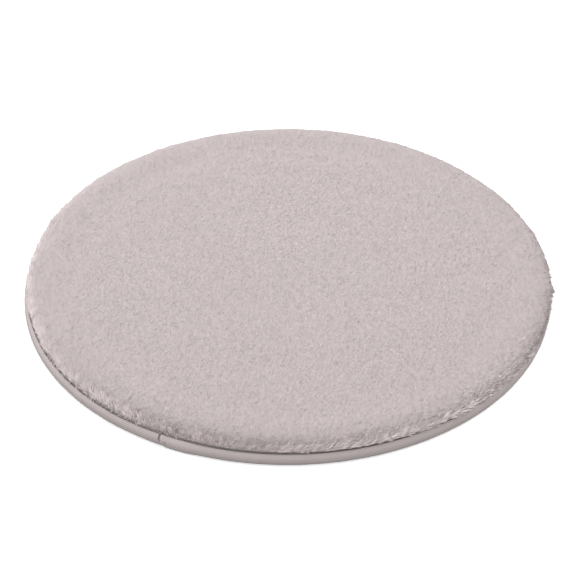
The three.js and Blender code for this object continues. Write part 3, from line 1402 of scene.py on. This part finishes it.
class PLUSHPAD_OT_stitching(bpy.types.Operator):
    """Sew the binding: needle thread above, bobbin thread below and the tack at the join"""

    bl_idname = "plushpad.stitching"
    bl_label = "Stitching"

    def execute(self, context):
        settings = context.scene.plush_pad_binding
        material = thread_material(context.scene.plush_pad_colours)
        stitch = stitch_shape(settings.stitch_pitch, settings.thread_radius)
        tree = stitch_tree()
        seams = (
            ("needle_stitches", "needle_thread", *NEEDLE_SEAM, 1.0),
            ("bobbin_stitches", "bobbin_thread", *BOBBIN_SEAM, -1.0),
        )
        for name, node, radius, height, flip in seams:
            seam = seam_line(name, radius, height)
            grow(
                seam,
                tree,
                {
                    "Stitch": stitch,
                    "Pitch": settings.stitch_pitch,
                    "Flip": flip,
                    "Material": material,
                },
            )
            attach(seam, BODY)
            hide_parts(node)
        remove_piece(stitch)

        low, high = TACK_LOW.z + TACK_END_GAP, TACK_HIGH.z - TACK_END_GAP
        reach, tall = TACK_OVAL
        path = []
        for turn in range(TACK_TURNS + 1):
            height = low + (high - low) * turn / TACK_TURNS
            rise = (height - TAPE_MIDDLE.y) / tall
            radius = TAPE_MIDDLE.x + reach * math.sqrt(1 - min(0.95, rise**2))
            sideways = TACK_SWING if turn % 2 else -TACK_SWING
            angle = JOIN_ANGLE + TACK_FROM_JOIN + sideways
            path.append(
                Vector((radius * math.cos(angle), radius * math.sin(angle), height))
            )
        tack = new_piece(
            "join_tack", *tube(smooth_line(path, 0.5 * MM), settings.thread_radius)
        )
        tack.data.materials.append(material)
        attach(tack, BODY)
        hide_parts("join_tack_thread")
        return {"FINISHED"}


# ---------------------------------------------------------------- underside


def flat_disc(radius, low, high, rings):
    """The outline of a thin disc with a softly rounded edge, for turning."""
    round_off = 0.4 * (high - low)
    span = radius - round_off
    outline = [(span * ring / rings, low) for ring in range(rings + 1)]
    outline += [(radius, low + round_off), (radius, high - round_off)]
    outline += [(span * ring / rings, high) for ring in range(rings, -1, -1)]
    return outline


class PLUSHPAD_OT_base_cloth(bpy.types.Operator):
    """Make the woven cloth that closes the pad's underside"""

    bl_idname = "plushpad.base_cloth"
    bl_label = "Base Cloth"

    def execute(self, context):
        radius = CLOTH_HIGH.x
        low, high = CLOTH_LOW.z, CLOTH_HIGH.z
        outline = flat_disc(radius, low, high, 30)
        cloth = new_piece("base_cloth_disc", *turned_mesh(outline, 180))
        cloth.data.materials.append(cloth_material(context.scene.plush_pad_colours))
        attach(cloth, BODY)
        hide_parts("base_cloth")
        return {"FINISHED"}


def dot_shape(radius, height):
    """A low domed dot that hangs from the film, closed at its top inside the film."""
    sides = 8
    outline = [(0, -height), (0.55 * radius, -0.86 * height), (radius, 0), (0, 0.1 * MM)]
    points, faces = turned_mesh(outline, sides)
    return new_piece("dot_shape", points, faces)


def dot_tree():
    """Sets dots in staggered rows over a disc."""
    tree, given = geometry_tree(
        "Set Dots",
        {
            "Dot": "Object",
            "Pitch": "Float",
            "Reach": "Float",
            "Height": "Float",
            "Material": "Material",
        },
    )
    row_pitch = sums(tree, "MULTIPLY", given["Pitch"], math.sqrt(3) / 2)
    across = sums(tree, "MULTIPLY", given["Reach"], 2.0)
    columns = sums(tree, "CEIL", sums(tree, "DIVIDE", across, given["Pitch"]))
    rows = sums(tree, "CEIL", sums(tree, "DIVIDE", across, row_pitch))
    grid = put(
        tree,
        "GeometryNodeMeshGrid",
        {
            "Size X": sums(tree, "MULTIPLY", columns, given["Pitch"]),
            "Size Y": sums(tree, "MULTIPLY", rows, row_pitch),
            "Vertices X": sums(tree, "ADD", columns, 1.0),
            "Vertices Y": sums(tree, "ADD", rows, 1.0),
        },
    ).outputs[0]
    place = put(tree, "GeometryNodeInputPosition").outputs[0]
    down = put(tree, "ShaderNodeSeparateXYZ", {0: place}).outputs[1]
    top = sums(tree, "MULTIPLY", sums(tree, "MULTIPLY", rows, row_pitch), 0.5)
    row = sums(tree, "ROUND", sums(tree, "DIVIDE", sums(tree, "ADD", down, top), row_pitch))
    odd = sums(tree, "MODULO", row, 2.0)
    shift = put(
        tree,
        "ShaderNodeCombineXYZ",
        {
            0: sums(tree, "MULTIPLY", sums(tree, "MULTIPLY", odd, given["Pitch"]), 0.5),
            2: given["Height"],
        },
    ).outputs[0]
    staggered = put(
        tree, "GeometryNodeSetPosition", {"Geometry": grid, "Offset": shift}
    ).outputs[0]
    flat = vector_sums(tree, "MULTIPLY", place, (1.0, 1.0, 0.0))
    far = put(tree, "ShaderNodeVectorMath", {0: flat}, operation="LENGTH").outputs[1]
    outside = put(
        tree, "FunctionNodeCompare", {0: far, 1: given["Reach"]}, operation="GREATER_THAN"
    ).outputs[0]
    kept = put(
        tree, "GeometryNodeDeleteGeometry", {"Geometry": staggered, "Selection": outside}
    ).outputs[0]
    points = put(tree, "GeometryNodeMeshToPoints", {"Mesh": kept}).outputs[0]
    dot = put(
        tree, "GeometryNodeObjectInfo", {"Object": given["Dot"]}
    ).outputs["Geometry"]
    dots = put(
        tree, "GeometryNodeInstanceOnPoints", {"Points": points, "Instance": dot}
    ).outputs[0]
    both = put(tree, "GeometryNodeJoinGeometry", {"Geometry": given["Geometry"]})
    tree.links.new(dots, both.inputs[0])
    end_tree(tree, both.outputs[0], given["Material"])
    return tree


class PLUSHPAD_OT_grip_layer(bpy.types.Operator):
    """Make the non-slip film with its raised dots"""

    bl_idname = "plushpad.grip_layer"
    bl_label = "Grip Layer"

    def execute(self, context):
        settings = context.scene.plush_pad_base
        radius, low, high = GRIP_HIGH.x, GRIP_LOW.z, GRIP_HIGH.z
        film_low = high - settings.film_thickness
        bare_edge = 3 * MM
        outline = flat_disc(radius, film_low, high, 20)
        film = new_piece("grip_film", *turned_mesh(outline, 180))
        dot = dot_shape(settings.dot_radius, film_low - low)
        grow(
            film,
            dot_tree(),
            {
                "Dot": dot,
                "Pitch": settings.dot_pitch,
                "Reach": radius - bare_edge,
                "Height": film_low,
                "Material": grip_material(context.scene.plush_pad_colours),
            },
        )
        remove_piece(dot)
        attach(film, BODY)
        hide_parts("grip_layer")
        return {"FINISHED"}


# ---------------------------------------------------------------- stage

# Half the floor's width and the height of its top, just under the pad
FLOOR_REACH = 6.0
FLOOR_HEIGHT = -0.1 * MM
# The overhead light's place and width, and what the camera looks at
LIGHT_PLACE = Vector((0.1, 0.6, 1.9))
LIGHT_WIDTH = 2.4
CAMERA_TARGET = Vector((-1.8 * MM, 0, 8.2 * MM))
# The room's light is strongest from this side, and fades out between these sines of the angle to
# the horizon.
ROOM_BRIGHT_SIDE = (-0.3, 0.3, 0.75)
ROOM_FADES = (-0.35, 0.05)


def area_light(name, place, aim, size, power):
    """A round lamp that looks at a point."""
    lamp = bpy.data.lights.new(name, "AREA")
    lamp.shape = "DISK"
    lamp.size = size
    lamp.energy = power
    light = bpy.data.objects.new(name, lamp)
    light.location = place
    light.rotation_euler = (aim - place).to_track_quat("-Z", "Y").to_euler()
    bpy.context.scene.collection.objects.link(light)


class PLUSHPAD_OT_stage(bpy.types.Operator):
    """Set out the floor, the soft studio light and the camera"""

    bl_idname = "plushpad.stage"
    bl_label = "Stage"

    def execute(self, context):
        scene = context.scene
        settings = scene.plush_pad_stage
        signs = ((-1, -1), (1, -1), (1, 1), (-1, 1))
        corners = [(FLOOR_REACH * x, FLOOR_REACH * y, FLOOR_HEIGHT) for x, y in signs]
        floor = new_piece("floor", corners, [(0, 1, 2, 3)], smooth=False)
        floor.data.materials.append(floor_material(scene.plush_pad_colours))
        floor.visible_diffuse = False

        world = bpy.data.worlds.new("soft_room")
        world.use_nodes = True
        tree = world.node_tree
        # The room is brightest overhead, behind and to the left, and dark below the floor.
        heading = put(tree, "ShaderNodeTexCoord").outputs["Generated"]
        towards = dot_product(tree, heading, ROOM_BRIGHT_SIDE)
        glow = put(
            tree,
            "ShaderNodeMapRange",
            {
                "Value": towards,
                "From Min": -0.5,
                "From Max": 0.75,
                "To Min": 0.8 * settings.sky,
                "To Max": 1.1 * settings.sky,
            },
        ).outputs[0]
        upward = put(tree, "ShaderNodeSeparateXYZ", {0: heading}).outputs[2]
        above = put(
            tree,
            "ShaderNodeMapRange",
            {"Value": upward, "From Min": ROOM_FADES[0], "From Max": ROOM_FADES[1]},
        ).outputs[0]
        glow = sums(tree, "MULTIPLY", glow, above)
        sky = tree.nodes["Background"]
        sky.inputs["Color"].default_value = (1, 1, 1, 1)
        tree.links.new(glow, sky.inputs["Strength"])
        scene.world = world
        middle = Vector((0, 0, 0))
        area_light("overhead", LIGHT_PLACE, middle, LIGHT_WIDTH, settings.key)

        rise = settings.camera_height
        back = Vector((0, -math.cos(rise), math.sin(rise)))
        lens = bpy.data.cameras.new("camera")
        lens.lens = settings.lens
        lens.clip_end = 50
        camera = bpy.data.objects.new("camera", lens)
        camera.location = CAMERA_TARGET + back * settings.camera_distance
        camera.rotation_euler = (math.pi / 2 - rise, 0, 0)
        scene.collection.objects.link(camera)
        scene.camera = camera
        scene.view_settings.view_transform = "Standard"
        return {"FINISHED"}


# ---------------------------------------------------------------- add-on


class PLUSHPAD_PT_sidebar(bpy.types.Panel):
    """Buttons for the pad's pieces, in the order that they are made in"""

    bl_label = "Plush Pad"
    bl_idname = "PLUSHPAD_PT_sidebar"
    bl_space_type = "VIEW_3D"
    bl_region_type = "UI"
    bl_category = "Plush Pad"

    def draw(self, context):
        for operator in OPERATORS:
            self.layout.operator(operator.bl_idname)
        for name in SETTINGS:
            box = self.layout.box()
            group = getattr(context.scene, name)
            for key in group.__annotations__:
                box.prop(group, key)


OPERATORS = (
    PLUSHPAD_OT_stage,
    PLUSHPAD_OT_foam,
    PLUSHPAD_OT_plush_top,
    PLUSHPAD_OT_grip_layer,
    PLUSHPAD_OT_base_cloth,
    PLUSHPAD_OT_binding,
    PLUSHPAD_OT_stitching,
)
SETTINGS = {
    "plush_pad_pile": PadPileSettings,
    "plush_pad_binding": PadBindingSettings,
    "plush_pad_base": PadBaseSettings,
    "plush_pad_colours": PadColourSettings,
    "plush_pad_stage": PadStageSettings,
}
CLASSES = (*SETTINGS.values(), *OPERATORS, PLUSHPAD_PT_sidebar)


def register():
    for cls in CLASSES:
        bpy.utils.register_class(cls)
    for name, group in SETTINGS.items():
        setattr(bpy.types.Scene, name, PointerProperty(type=group))


def unregister():
    for name in SETTINGS:
        delattr(bpy.types.Scene, name)
    for cls in reversed(CLASSES):
        bpy.utils.unregister_class(cls)


def main():
    register()
    for operator in OPERATORS:
        group, action = operator.bl_idname.split(".")
        getattr(getattr(bpy.ops, group), action)()


if __name__ == "__main__":
    main()
